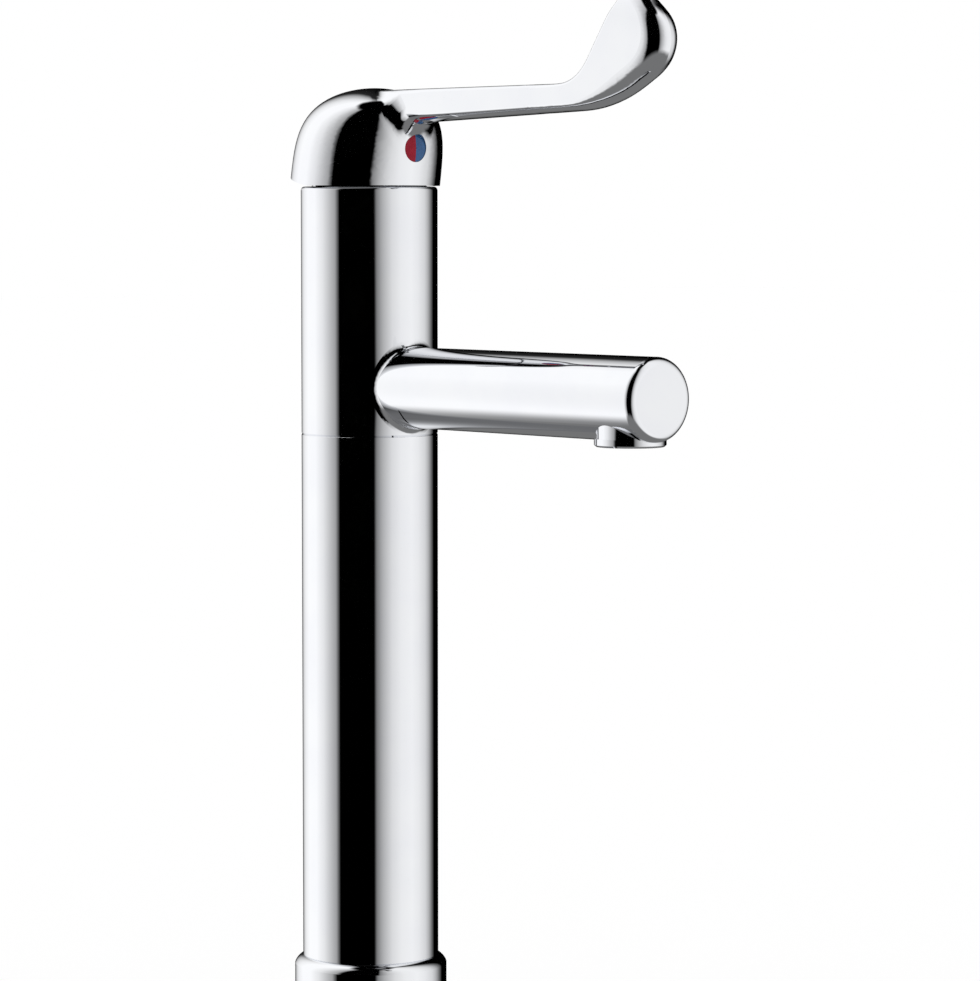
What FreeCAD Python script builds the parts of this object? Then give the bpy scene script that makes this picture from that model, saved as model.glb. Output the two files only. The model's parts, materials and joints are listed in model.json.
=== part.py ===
"""Single lever mixer tap with a tall column, a straight spout and a bladed lever.

Millimetres. +Z is up and the deck's top face is z = 0. The column's axis is x = y = 0.
The spout and the lever point to -Y, so hot is on the left of the user, at -X.
"""
import FreeCAD, Part
import math
import os

V = FreeCAD.Vector
X, Y, Z = V(1, 0, 0), V(0, 1, 0), V(0, 0, 1)

# Column, outside
COLUMN_R = 24.0                # outer radius of the column
COLUMN_WALL = 3.0              # wall of the extension tube
SEAM_Z = 196.2                 # height of the seam between extension and body
COLUMN_TOP = SEAM_Z + 86.6     # top edge of the column
SEAM_CHAMFER = 0.35            # bevel on each side of a seam
TOP_ROUND = 1.3                # rounding of the column's top edge

# Foot
FLANGE_R = COLUMN_R + 2.9      # outer radius of the base flange
FLANGE_H = 11.0                # height of the base flange
FLARE_H = 3.0                  # height of the flare between flange and column
FLARE_MID_OUT = 0.6            # the flare's middle point, as a share of its width
FLARE_MID_DOWN = 0.38          # and as a share of its height
FLANGE_EDGE = 0.4              # bevel of the flange's lower edge
FLANGE_SPIGOT_R = COLUMN_R - 1.4   # radius of the column's spigot inside the flange
SPIGOT_LIFT = 2.0              # height of the spigot's end over the deck
SEAL_IN_R = COLUMN_R - 0.3     # deck seal, inner radius
SEAL_OUT_R = COLUMN_R + 1.8    # deck seal, outer radius
SEAL_H = 2.0                   # deck seal, height

# Base block with the inlet and stud threads
BLOCK_BOTTOM = 1.0
BLOCK_TOP = 26.0
INLET_X = 9.0                  # sideways distance of each inlet from the axis
INLET_Y = -2.5                 # inlets lie this far towards the front
INLET_THREAD_R = 4.5           # minor radius of the M10x1 inlet thread
INLET_THREAD_L = 12.0
STUD_Y = 14.0                  # studs stand in front of and behind the axis
STUD_R = 3.0                   # M6 thread of the studs
STUD_SHANK_R = 2.7             # plain shank between the two threads
STUD_SHANK_END = -8.0          # lower end of the shank; its upper end is the block's underside
STUD_THREAD_L = 14.0           # thread depth in the block
STUD_CHAMFER = 0.8
STUD_CLEARANCE = 0.3           # radial clearance of the studs in the plate and the gasket

# Under-deck fixing
DECK_T = 30.0                  # thickness of the deck that the kit is shown clamped to
GASKET_T = 3.0
PLATE_T = 3.0
PLATE_R = 25.0
PLATE_SLOT_HALF = 6.5          # half width of the slot that the hoses pass through
PLATE_SLOT_BACK = -15.0        # the slot's closed end, left of the axis
NUT_H = 8.0
NUT_FLAT = 10.0                # width across the nut's flats
NUT_BEVEL = 0.58               # rise of the bevel on a nut's corners, as a share of its depth
STUD_TAIL = 14.0               # stud left below the nut

# Supply tubes
TUBE_R = 4.0
TUBE_WALL = 1.0
TUBE_SOCKET = 9.0              # depth of the tube sockets
TUBE_END_GAP = 1.0             # gap left behind a tube's end in its socket
O_RING_D = 0.9                 # section of the small tube rings
RING_SIDES = 10                # flats that draw a ring's round section

# Body spigot in the column
SPIGOT_L = 14.0                # length of the body's spigot in the extension
COLUMN_RING_D = 1.8            # section of the ring on the spigot

# Spout
SPOUT_R = 14.05
SPOUT_Z = SEAM_Z + 16.8        # height of the spout's axis
SPOUT_REACH = 148.4            # end face, from the column's axis
SPOUT_WALL = 3.05
SPOUT_ROUND = 2.8              # rounding of the end face's rim
SPOUT_ROOT_R = 3.0             # blend between spout and column
CAP_T = 3.0                    # thickness of the end cap's visible disc
CAP_PLUG_L = 2.0               # length of the plug behind it
WATERWAY_END = 9.5             # the waterway stops this far in front of the axis
CROSS_R = 3.2                  # cross channel between the outlet port and the waterway

# Nozzle
NOZZLE_CAP_GAP = 1.0           # gap between the nozzle's thread and the end cap's plug
NOZZLE_BOSS_R = 11.3
NOZZLE_SEAT = SPOUT_Z - 13     # underside of the boss, which the nozzle's rim meets
NOZZLE_BOTTOM = NOZZLE_SEAT - 2.7
NOZZLE_RIM_R = 11.9
NOZZLE_CHAMFER = 0.8
NOZZLE_THREAD_R = 8.6
NOZZLE_THREAD_L = 7.0
NOZZLE_BORE_R = 7.2
NOZZLE_LIP = 1.0               # inward lip above the flow straightener
NOZZLE_CHAMFER_RISE = 0.8      # the rim's bevel rises by this share of its width
NOZZLE_GAP = 0.3               # gap around the nozzle's rim where the spout is cut back
NOZZLE_SEAL_T = 0.8
NOZZLE_SEAL_OUT = 0.4          # seal's outer edge, inside the boss's edge
NOZZLE_SEAL_IN = 0.3           # seal's inner edge, outside the thread
STRAIGHTENER_RECESS = 0.7
STRAIGHTENER_T = 5.0
CELL_PITCH = 2.9               # spacing of the straightener's cells
CELL_R = 1.35                  # corner radius of a hexagonal cell
CELL_RINGS = 2                 # rings of cells around the middle one

# Cartridge, fixed pieces
PIVOT_Z = COLUMN_TOP - 7.8     # height of the lever's tilt axis
FLOOR_Z = PIVOT_Z - 26         # cartridge seat in the body
CARTRIDGE_R = 17.5
CARTRIDGE_WALL = 2.4
BASE_FLANGE_T = 3.0
BASE_TOP = FLOOR_Z + 7.5
DISC_FIXED_R = 14.2
DISC_FIXED_T = 4.0
DISC_R = 11.5
DISC_T = 3.0
PORT_X = INLET_X
PORT_Y = INLET_Y
PORT_R = 3.0
OUTLET_PORT_Y = 6.5
SHOULDER_Z = PIVOT_Z - 3       # shoulder that the clamp nut presses on
SHOULDER_T = 2.0
COLLAR_R = 12.6
COLLAR_TOP = PIVOT_Z + 5.5
PEG_R = 1.9                    # locating pegs under the base
PEG_L = 3.0
PEG_X = 11.5
PEG_Y = -10.0
SEAL_RING_W = 1.4              # width of a port seal
SEAL_RING_T = 1.4
PORT_LIP = 0.7                 # from a port's edge to its seal
LUG_HALF = 2.0                 # half width of the lugs that hold the fixed disc
LUG_DEPTH = 1.6
LUG_Y = 8.0                    # lugs lie this far behind the axis
LUG_GAP = 0.1                  # gap around a lug, in the lug and in its notch each
NUT_THREAD_R = COLUMN_R - 4    # clamp nut
NUT_THREAD_H = 4.0
NUT_TOP = COLUMN_TOP - 3.3
NUT_HEX_FLAT = 33.6            # across the clamp nut's flats
NUT_GAP = 0.2                  # gap between the clamp nut and the collar
THREAD_RELIEF = 1.5            # the body's thread runs this far below the shoulder
COUNTERBORE_Z = NUT_TOP - 1
COUNTERBORE_R = COLUMN_R - 2
DOME_R = COUNTERBORE_R - 0.3   # dome ring, sphere about the tilt axis
DOME_T = 1.2
DOME_SKIRT_TOP = 6.8           # above the tilt axis
DOME_TOP = 14.2                # above the tilt axis
DOME_INNER_LOW = 5.0           # lower end of the inner sphere, above the tilt axis
DOME_SKIRT_EXTRA = 0.5         # the skirt is thicker than the dome by this
LIMIT_RING_R = 13.6
LIMIT_RING_H = 2.1
LIMIT_TEETH = 24
LIMIT_NOTCH = 0.6              # depth and half width of a notch
LIMIT_GAP = 0.3                # gap between the limit ring and the carrier's barrel

# Cartridge, moving pieces
BARREL_R = 11.2                # carrier's barrel in the collar
BARREL_TOP = PIVOT_Z + 6.5
CARRIER_FLANGE_R = 14.8
CARRIER_FLANGE_T = 2.9
CARRIER_PLAY = 0.1             # end play of the carrier under the housing's shoulder
CARRIER_RING_Z = PIVOT_Z + 4
CARRIER_RING_D = 1.4
CHEEK_GAP = 0.2                # gap between the coupler's flats and the carrier's cheeks
CHEEK_T = 3.2
CHEEK_HALF = 6.0
CHEEK_LIFT = 0.5               # the cheeks end this far above the coupler's underside
POCKET_HALF_X = 5.8            # pocket for the coupler's boss under the carrier
POCKET_HALF_Y = 7.4
POCKET_TOP = PIVOT_Z - 4.4
COUPLER_T = 3.1
COUPLER_HALF = 9.5             # half width across the coupler's flats
COUPLER_BOSS_R = 5.2
COUPLER_BOSS_H = 2.6
DRIVE_PEG_R = 1.2
DRIVE_PEG_L = 0.9
DRIVE_PEG_X = 7.5
DRIVE_PEG_Y = -5.0             # from the disc's centre
CHAMBER_FRONT = 0.1            # front edge of the mixing chamber, from the disc's centre
CHAMBER_REAR = 9.8
CHAMBER_HALF = 8.6
CHAMBER_DEPTH = 1.8
CHAMBER_RIM = 1.3              # rim left around the chamber
STEM_HALF = 4.0                # half the side of the stem's square
STEM_TOP = PIVOT_Z + 31
STEM_CHAMFER = 0.6
STEM_TOP_GAP = 0.2             # gap above the stem in the lever's socket
STEM_NECK_R = 2.2
SLOT_SIDE_GAP = 0.3            # gap on each side of the stem in the carrier's slot
PIN_R = 1.5
PIN_INSET = 0.4                # the pin's ends lie this far inside the barrel
BALL_R = 2.6
BALL_ARM = 8.0                 # ball centre, from the tilt axis
SOCKET_GAP = 0.3               # gap around the stem's ball
LIFT_DEG = 25.0                # full travel of the lever

# Hood of the lever: a dome whose level sections are circles on a leaning line
HOOD_BOTTOM = COLUMN_TOP + 0.3
HOOD_FOOT_Z = PIVOT_Z + 3.9    # height at which the dome begins on its own axis
HOOD_BACK = 3.0                # there the line lies this far behind the column's axis
HOOD_LEAN = 9.2                # lean of the line towards the front, degrees
HOOD_R = COLUMN_R + 2.35       # radius at the foot
HOOD_RISE = 38.2               # from the foot to the crown
HOOD_FULLNESS = 4.4            # how long the side stays straight; 2 makes an ellipse
HOOD_POINTS = 14               # points that the side's curve runs through
HOOD_SKIRT = 8.0               # how far the side is carried down below the foot
HOOD_WALL = 2.3
CAVITY_SHARES = (0.3, 0.55, 0.75, 0.92)   # shares of the rise where the hollow meets the dome's inner curve
HOOD_SIDE_GAP = 0.15           # cavity's clearance around the column
RIM_LEVEL_TO = 3.0             # the lower edge is level up to here, behind the column's axis
RIM_RISE_DEG = 10.3            # from there it rises towards the rear, so that the lever can tilt

# Arm and blade of the lever, as reaches from the axis and heights from the arm's top
ARM_TOP = PIVOT_Z + 41.05
ARM_ROOT = -2.0                # the arm's inner end, just behind the crown
ARM_NECK = 35.0                # reach where the arm's upper edges are down to their own rounding
ARM_DEPTH = 12.4               # depth of the arm at its inner end
ROOT_EDGE_R = 3.5              # rounding of the upper edges at the arm's inner end
ARM_HALF_W = 6.7
ARM_NOSE = 3.0                 # depth of the rounded underside
BEND_REACH = 113.4
BEND_R = 17.5
TIP_REACH, TIP_RISE = 137.1, 33.75
TIP_R = 5.0
NOSE_REACH, NOSE_RISE = 159.4, 11.4
NOSE_R = 12.2
BELLY_REACH, BELLY_DROP = 129.6, 8.5
BELLY_R = 68.0
BLADE_NOSE = 7.5               # depth of the blade's rounded front
BLADE_WIDE_RISE = 12.9         # up to here the front keeps its full width, above the arm's top
BLADE_OVERRUN = 0.2            # this far above the blade's top its width would run out
EDGE_R = 1.4                   # rounding of the arm's upper edges and the blade's rear edges
ARM_STATIONS = 3               # stations on the arm's outer end, before the bend
ARM_STATION_STEP = 0.06        # their spacing, as a share of the straight stretch
BLADE_STATIONS = 12
BLADE_SPREAD = 1.4             # above 1 the stations crowd towards the tip
BLADE_SWELL = 2.2              # how soon the blade's front reaches its full rounding
TIP_NOSE = 0.8                 # most of a section's depth that its rounded front takes
TIP_EDGE = 0.1                 # and that its rear edges' rounding takes
ARM_BLEND_R = 8.0              # blend between arm and hood

# Lever's inner bosses, grub screw and indicator
STEM_BOSS_R = 7.5
STEM_BOSS_REAR = 6.3
STEM_BOSS_BOTTOM = PIVOT_Z + 16
INDICATOR_Z = PIVOT_Z + 20.9
INDICATOR_R = 4.75
INDICATOR_FACE = COLUMN_R + 1.0      # rim of the indicator, from the axis
INDICATOR_T = 2.4              # thickness at its rim
INDICATOR_CROWN = 0.5
SCREW_BOSS_R = 5.2
SCREW_R = 2.5
SCREW_L = 8.0
SCREW_KEY = 2.5                # across flats of the key socket

# Clearances
FIT = 0.05                     # radial clearance of pieces that fit in one another
RUNNING = 0.07                 # radial clearance of pieces that turn in one another
PAST = 1.0                     # how far a cut runs past the face that it opens

# Values that follow from the ones above
SIDES = (-1, 1)
COLUMN_BORE = COLUMN_R - COLUMN_WALL
COLUMN_RING_Z = SEAM_Z - SPIGOT_L / 2
COLUMN_RING_R = COLUMN_BORE - FIT - COLUMN_RING_D / 2
NOZZLE_REACH = SPOUT_REACH - CAP_T - CAP_PLUG_L - NOZZLE_CAP_GAP - NOZZLE_THREAD_R
COUPLER_BOTTOM = BASE_TOP + DISC_FIXED_T + DISC_T
CARRIER_Z = SHOULDER_Z - SHOULDER_T - CARRIER_PLAY - CARRIER_FLANGE_T
DISC_START = BALL_ARM * math.sin(math.radians(LIFT_DEG / 2))
BALL_Z = PIVOT_Z - BALL_ARM * math.cos(math.radians(LIFT_DEG / 2))
INDICATOR_SEAT = INDICATOR_FACE - INDICATOR_T


def cyl(r, z0, z1, x=0.0, y=0.0):
    return Part.makeCylinder(r, z1 - z0, V(x, y, z0), Z)


def ring(r_out, r_in, z0, z1, x=0.0, y=0.0):
    return cyl(r_out, z0, z1, x, y).cut(cyl(r_in, z0 - PAST, z1 + PAST, x, y))


def bar(r, y0, y1, z):
    """Cylinder along Y at x = 0, from y0 to y1."""
    return Part.makeCylinder(r, y1 - y0, V(0, y0, z), Y)


def block(x0, x1, y0, y1, z0, z1):
    return Part.makeBox(x1 - x0, y1 - y0, z1 - z0, V(x0, y0, z0))


def turned(outline):
    """Solid of revolution about Z from (radius, height) points; a triple of points is an arc."""
    edges = []
    at = None
    for step in outline:
        if isinstance(step[0], tuple):
            middle, end = step
            edges.append(Part.Arc(at, V(middle[0], 0, middle[1]), V(end[0], 0, end[1])).toShape())
            at = V(end[0], 0, end[1])
        else:
            there = V(step[0], 0, step[1])
            if at is not None:
                edges.append(Part.makeLine(at, there))
            at = there
    first = edges[0].Vertexes[0].Point
    edges.append(Part.makeLine(at, first))
    face = Part.Face(Part.Wire(edges))
    return face.revolve(V(0, 0, 0), Z, 360)


def hexagon(flat, z0, z1, x=0.0, y=0.0):
    r = flat / math.sqrt(3)
    points = [V(x + r * math.cos(math.radians(60 * i)), y + r * math.sin(math.radians(60 * i)), z0)
              for i in range(7)]
    return Part.Face(Part.makePolygon(points)).extrude(V(0, 0, z1 - z0))


def nut_blank(flat, z0, z1, x=0.0, y=0.0):
    """Hexagon whose corners are bevelled at both ends."""
    corner = flat / math.sqrt(3)
    rise = NUT_BEVEL * (corner - flat / 2)
    bevel = turned([(0, z0), (flat / 2, z0), (corner, z0 + rise),
                    (corner, z1 - rise), (flat / 2, z1), (0, z1)])
    bevel.translate(V(x, y, 0))
    return hexagon(flat, z0, z1, x, y).common(bevel)


def seal_loop(ring_r, section, z, x=0.0, y=0.0):
    """Ring of round section, drawn with RING_SIDES flats."""
    angles = [2 * math.pi * (i + 0.5) / RING_SIDES for i in range(RING_SIDES)]
    loop = turned([(ring_r + section / 2 * math.cos(a), section / 2 * math.sin(a)) for a in angles])
    loop.translate(V(x, y, z))
    return loop


def group(solids):
    return Part.makeCompound(solids)


def union(solids):
    return solids[0].multiFuse(solids[1:]).removeSplitter()


def seam_edges(whole, first, second):
    """Edges of the whole that lie on the skin of both shapes that were joined."""
    skins = (first.Shells[0], second.Shells[0])
    found = []
    for edge in whole.Edges:
        if edge.Degenerated:
            continue
        span = edge.LastParameter - edge.FirstParameter
        points = [Part.Vertex(edge.valueAt(edge.FirstParameter + span * share)) for share in (0.3, 0.5, 0.7)]
        if all(point.distToShape(skin)[0] < 1e-3 for point in points for skin in skins):
            found.append(edge)
    return found


def blended(first, second, radius):
    whole = first.fuse(second).removeSplitter()
    return whole.makeFillet(radius, seam_edges(whole, first, second))


# Foot of the tap

def base_flange():
    bore = FLANGE_SPIGOT_R + FIT
    flare_mid = (COLUMN_R + FLARE_MID_OUT * (FLANGE_R - COLUMN_R), FLANGE_H - FLARE_MID_DOWN * FLARE_H)
    body = turned([(bore, 0), (FLANGE_R - FLANGE_EDGE, 0), (FLANGE_R, FLANGE_EDGE),
                   (FLANGE_R, FLANGE_H - FLARE_H), (flare_mid, (COLUMN_R, FLANGE_H)), (bore, FLANGE_H)])
    return body.cut(ring(SEAL_OUT_R + FIT, SEAL_IN_R - FIT, -1, SEAL_H))


def deck_seal():
    return ring(SEAL_OUT_R, SEAL_IN_R, 0, SEAL_H)


def base_block():
    body = cyl(COLUMN_BORE - FIT, BLOCK_BOTTOM, BLOCK_TOP)
    socket_z = BLOCK_TOP - TUBE_SOCKET
    for side in SIDES:
        x = side * INLET_X
        body = body.cut(cyl(INLET_THREAD_R, BLOCK_BOTTOM - PAST, BLOCK_BOTTOM + INLET_THREAD_L, x, INLET_Y))
        body = body.cut(cyl(TUBE_R - TUBE_WALL, BLOCK_BOTTOM, BLOCK_TOP, x, INLET_Y))
        body = body.cut(cyl(TUBE_R + FIT, socket_z, BLOCK_TOP + PAST, x, INLET_Y))
        body = body.cut(ring_groove(x, socket_z + TUBE_SOCKET / 2))
        stud_top = BLOCK_BOTTOM + STUD_THREAD_L
        body = body.cut(cyl(STUD_R + FIT, BLOCK_BOTTOM - PAST, stud_top + FIT, 0, side * STUD_Y))
    return body


def ring_groove(x, z):
    """Space of a small ring around a supply tube."""
    half = O_RING_D / 2 + FIT
    return cyl(TUBE_R + O_RING_D + 2 * FIT, z - half, z + half, x, INLET_Y)


def supply_rings():
    z_low = BLOCK_TOP - TUBE_SOCKET / 2
    z_high = SEAM_Z - SPIGOT_L + TUBE_SOCKET / 2
    r = TUBE_R + FIT + O_RING_D / 2
    return group([seal_loop(r, O_RING_D, z, side * INLET_X, INLET_Y)
                  for side in SIDES for z in (z_low, z_high)])


def supply_tube(side):
    z0 = BLOCK_TOP - TUBE_SOCKET + TUBE_END_GAP
    z1 = SEAM_Z - SPIGOT_L + TUBE_SOCKET - TUBE_END_GAP
    return ring(TUBE_R, TUBE_R - TUBE_WALL, z0, z1, side * INLET_X, INLET_Y)


# Fixing kit under the deck

def stud_positions():
    return [(0, side * STUD_Y) for side in SIDES]


def horseshoe(z0, z1):
    plate = cyl(PLATE_R, z0, z1)
    slot_end = PLATE_SLOT_BACK + PLATE_SLOT_HALF
    plate = plate.cut(block(slot_end, PLATE_R + PAST, INLET_Y - PLATE_SLOT_HALF, INLET_Y + PLATE_SLOT_HALF,
                            z0 - PAST, z1 + PAST))
    plate = plate.cut(cyl(PLATE_SLOT_HALF, z0 - PAST, z1 + PAST, slot_end, INLET_Y))
    for x, y in stud_positions():
        plate = plate.cut(cyl(STUD_R + STUD_CLEARANCE, z0 - PAST, z1 + PAST, x, y))
    return plate


def fixing_studs():
    """Two studs, each threaded at both ends with a plain shank between."""
    z1 = BLOCK_BOTTOM + STUD_THREAD_L
    z0 = -DECK_T - GASKET_T - PLATE_T - NUT_H - STUD_TAIL
    c = STUD_CHAMFER
    stud = turned([(0, z0), (STUD_R - c, z0), (STUD_R, z0 + c), (STUD_R, STUD_SHANK_END),
                   (STUD_SHANK_R, STUD_SHANK_END), (STUD_SHANK_R, BLOCK_BOTTOM), (STUD_R, BLOCK_BOTTOM),
                   (STUD_R, z1 - c), (STUD_R - c, z1), (0, z1)])
    return group([stud.translated(V(x, y, 0)) for x, y in stud_positions()])


def stud_nuts():
    z1 = -DECK_T - GASKET_T - PLATE_T
    z0 = z1 - NUT_H
    return group([nut_blank(NUT_FLAT, z0, z1, x, y).cut(cyl(STUD_R + FIT, z0 - PAST, z1 + PAST, x, y))
                  for x, y in stud_positions()])


# Column and body

def column_extension():
    c = SEAM_CHAMFER
    return turned([(COLUMN_BORE, SPIGOT_LIFT), (FLANGE_SPIGOT_R, SPIGOT_LIFT), (FLANGE_SPIGOT_R, FLANGE_H),
                   (COLUMN_R - c, FLANGE_H), (COLUMN_R, FLANGE_H + c), (COLUMN_R, SEAM_Z - c),
                   (COLUMN_R - c, SEAM_Z), (COLUMN_BORE, SEAM_Z)])


def column_ring():
    return seal_loop(COLUMN_RING_R, COLUMN_RING_D, COLUMN_RING_Z)


def body_outside():
    c = SEAM_CHAMFER
    lean = TOP_ROUND * (1 - math.sqrt(0.5))
    column = turned([(0, SEAM_Z), (COLUMN_R - c, SEAM_Z), (COLUMN_R, SEAM_Z + c),
                     (COLUMN_R, COLUMN_TOP - TOP_ROUND),
                     ((COLUMN_R - lean, COLUMN_TOP - lean), (COLUMN_R - TOP_ROUND, COLUMN_TOP)),
                     (0, COLUMN_TOP)])
    spout = bar(SPOUT_R, -SPOUT_REACH + CAP_T, 0, SPOUT_Z)
    whole = blended(column, spout, SPOUT_ROOT_R)
    boss = cyl(NOZZLE_BOSS_R, NOZZLE_SEAT, SPOUT_Z, 0, -NOZZLE_REACH)
    spigot = cyl(COLUMN_BORE - FIT, SEAM_Z - SPIGOT_L, SEAM_Z)
    return union([whole, boss, spigot])


def mixer_body():
    body = body_outside()
    tools = [
        bar(SPOUT_R - SPOUT_WALL, -SPOUT_REACH, -WATERWAY_END, SPOUT_Z),
        bar(CROSS_R, -WATERWAY_END - PAST, OUTLET_PORT_Y, SPOUT_Z),
        cyl(CROSS_R, SPOUT_Z, FLOOR_Z + PAST, 0, OUTLET_PORT_Y),
        cyl(NOZZLE_THREAD_R + FIT, NOZZLE_SEAT - PAST, SPOUT_Z, 0, -NOZZLE_REACH),
        rim_space(),
        cyl(CARTRIDGE_R + 2 * FIT, FLOOR_Z, SHOULDER_Z, 0, 0),
        cyl(NUT_THREAD_R + FIT, SHOULDER_Z - THREAD_RELIEF, COLUMN_TOP + PAST),
        cyl(COUNTERBORE_R, COUNTERBORE_Z, COLUMN_TOP + PAST),
        ring(COLUMN_BORE, COLUMN_RING_R - COLUMN_RING_D / 2 - FIT, COLUMN_RING_Z - COLUMN_RING_D / 2 - FIT,
             COLUMN_RING_Z + COLUMN_RING_D / 2 + FIT),
    ]
    bottom = SEAM_Z - SPIGOT_L
    for side in SIDES:
        x = side * INLET_X
        tools.append(cyl(TUBE_R - TUBE_WALL, bottom - PAST, FLOOR_Z + PAST, x, INLET_Y))
        tools.append(cyl(TUBE_R + FIT, bottom - PAST, bottom + TUBE_SOCKET, x, INLET_Y))
        tools.append(ring_groove(x, bottom + TUBE_SOCKET / 2))
        tools.append(cyl(PEG_R + FIT, FLOOR_Z - PEG_L - FIT, FLOOR_Z + PAST, side * PEG_X, PEG_Y))
    for tool in tools:
        body = body.cut(tool)
    return body


def rim_space():
    """Space that the nozzle's rim takes out of the spout's underside."""
    return cyl(NOZZLE_RIM_R + NOZZLE_GAP, NOZZLE_BOTTOM, NOZZLE_SEAT, 0, -NOZZLE_REACH)


def spout_end_cap():
    y_face, y_seam = -SPOUT_REACH, -SPOUT_REACH + CAP_T
    disc = bar(SPOUT_R, y_face, y_seam, SPOUT_Z)
    rims = [e for e in disc.Edges if isinstance(e.Curve, Part.Circle)]
    front = [e for e in rims if abs(e.BoundBox.YMax - y_face) < 0.01]
    disc = disc.makeFillet(SPOUT_ROUND, front)
    plug = bar(SPOUT_R - SPOUT_WALL - FIT, y_seam, y_seam + CAP_PLUG_L, SPOUT_Z)
    return union([disc, plug]).cut(rim_space())


# Nozzle under the spout's end

def nozzle_housing():
    bevel_top = NOZZLE_BOTTOM + NOZZLE_CHAMFER_RISE * NOZZLE_CHAMFER
    top = NOZZLE_SEAT + NOZZLE_THREAD_L
    ledge = NOZZLE_BOTTOM + STRAIGHTENER_RECESS + STRAIGHTENER_T
    inner = NOZZLE_BORE_R - NOZZLE_LIP
    body = turned([(NOZZLE_BORE_R, NOZZLE_BOTTOM), (NOZZLE_RIM_R - NOZZLE_CHAMFER, NOZZLE_BOTTOM),
                   (NOZZLE_RIM_R, bevel_top), (NOZZLE_RIM_R, NOZZLE_SEAT), (NOZZLE_THREAD_R, NOZZLE_SEAT),
                   (NOZZLE_THREAD_R, top), (inner, top), (inner, ledge), (NOZZLE_BORE_R, ledge)])
    body.translate(V(0, -NOZZLE_REACH, 0))
    return body.cut(seal_ring(FIT, NOZZLE_SEAT + PAST))


def seal_ring(grow, top):
    """Flat ring between the nozzle and the boss; grow widens it into its groove."""
    return ring(NOZZLE_BOSS_R - NOZZLE_SEAL_OUT + grow, NOZZLE_THREAD_R + NOZZLE_SEAL_IN - grow,
                NOZZLE_SEAT - NOZZLE_SEAL_T, top, 0, -NOZZLE_REACH)


def flow_straightener():
    z0 = NOZZLE_BOTTOM + STRAIGHTENER_RECESS
    z1 = z0 + STRAIGHTENER_T
    body = cyl(NOZZLE_BORE_R - FIT, z0, z1, 0, -NOZZLE_REACH)
    cells = []
    for i in range(-CELL_RINGS, CELL_RINGS + 1):
        for j in range(-CELL_RINGS, CELL_RINGS + 1):
            if abs(i + j) <= CELL_RINGS:
                x = CELL_PITCH * (i + j / 2)
                y = CELL_PITCH * j * math.sqrt(3) / 2
                cell = hexagon(CELL_R * math.sqrt(3), z0 - PAST, z1 + PAST)
                cell.rotate(V(0, 0, 0), Z, 30)
                cell.translate(V(x, y - NOZZLE_REACH, 0))
                cells.append(cell)
    return body.cut(group(cells))


# Cartridge, fixed pieces

def port_spots():
    return [(-PORT_X, PORT_Y, PORT_R), (PORT_X, PORT_Y, PORT_R), (0, OUTLET_PORT_Y, CROSS_R)]


def lugs(grow, z0, z1):
    """Two lugs at the rim of the fixed disc; grow widens them into notches."""
    inner = DISC_FIXED_R - LUG_DEPTH - grow
    outer = CARTRIDGE_R - CARTRIDGE_WALL
    half = LUG_HALF + grow
    pair = []
    for side in SIDES:
        x0, x1 = sorted((side * inner, side * outer))
        lug = block(x0, x1, LUG_Y - half, LUG_Y + half, z0, z1)
        pair.append(lug.common(cyl(outer - FIT, z0, z1)))
    return pair


def cartridge_base():
    inside = CARTRIDGE_R - CARTRIDGE_WALL - FIT
    body = union([cyl(CARTRIDGE_R, FLOOR_Z, FLOOR_Z + BASE_FLANGE_T), cyl(inside, FLOOR_Z, BASE_TOP)]
                 + [cyl(PEG_R, FLOOR_Z - PEG_L, FLOOR_Z + PAST, side * PEG_X, PEG_Y) for side in SIDES])
    for x, y, r in port_spots():
        body = body.cut(cyl(r, FLOOR_Z - PAST, BASE_TOP + PAST, x, y))
        body = body.cut(ring(r + PORT_LIP + SEAL_RING_W + FIT, r + PORT_LIP - FIT, FLOOR_Z - PAST,
                             FLOOR_Z + SEAL_RING_T, x, y))
    for lug in lugs(-LUG_GAP, BASE_TOP - PAST, BASE_TOP + DISC_FIXED_T / 2):
        body = body.fuse(lug)
    return body.removeSplitter()


def cartridge_seals():
    return group([ring(r + PORT_LIP + SEAL_RING_W, r + PORT_LIP, FLOOR_Z, FLOOR_Z + SEAL_RING_T, x, y)
                  for x, y, r in port_spots()])


def fixed_ceramic_disc():
    disc = cyl(DISC_FIXED_R, BASE_TOP, BASE_TOP + DISC_FIXED_T)
    for x, y, r in port_spots():
        disc = disc.cut(cyl(r, BASE_TOP - PAST, BASE_TOP + DISC_FIXED_T + PAST, x, y))
    for notch in lugs(LUG_GAP, BASE_TOP - PAST, BASE_TOP + DISC_FIXED_T / 2 + 2 * LUG_GAP):
        disc = disc.cut(notch)
    return disc


def cartridge_housing():
    inside = CARTRIDGE_R - CARTRIDGE_WALL
    plate_z = SHOULDER_Z - SHOULDER_T
    bore = BARREL_R + RUNNING
    return turned([(inside, FLOOR_Z + BASE_FLANGE_T), (CARTRIDGE_R, FLOOR_Z + BASE_FLANGE_T),
                   (CARTRIDGE_R, SHOULDER_Z), (COLLAR_R, SHOULDER_Z), (COLLAR_R, COLLAR_TOP),
                   (bore, COLLAR_TOP), (bore, plate_z), (inside, plate_z)])


def cartridge_clamp_nut():
    thread = cyl(NUT_THREAD_R, SHOULDER_Z, SHOULDER_Z + NUT_THREAD_H)
    head = nut_blank(NUT_HEX_FLAT, SHOULDER_Z, NUT_TOP)
    return union([thread, head]).cut(cyl(COLLAR_R + NUT_GAP, SHOULDER_Z - PAST, NUT_TOP + PAST))


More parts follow.
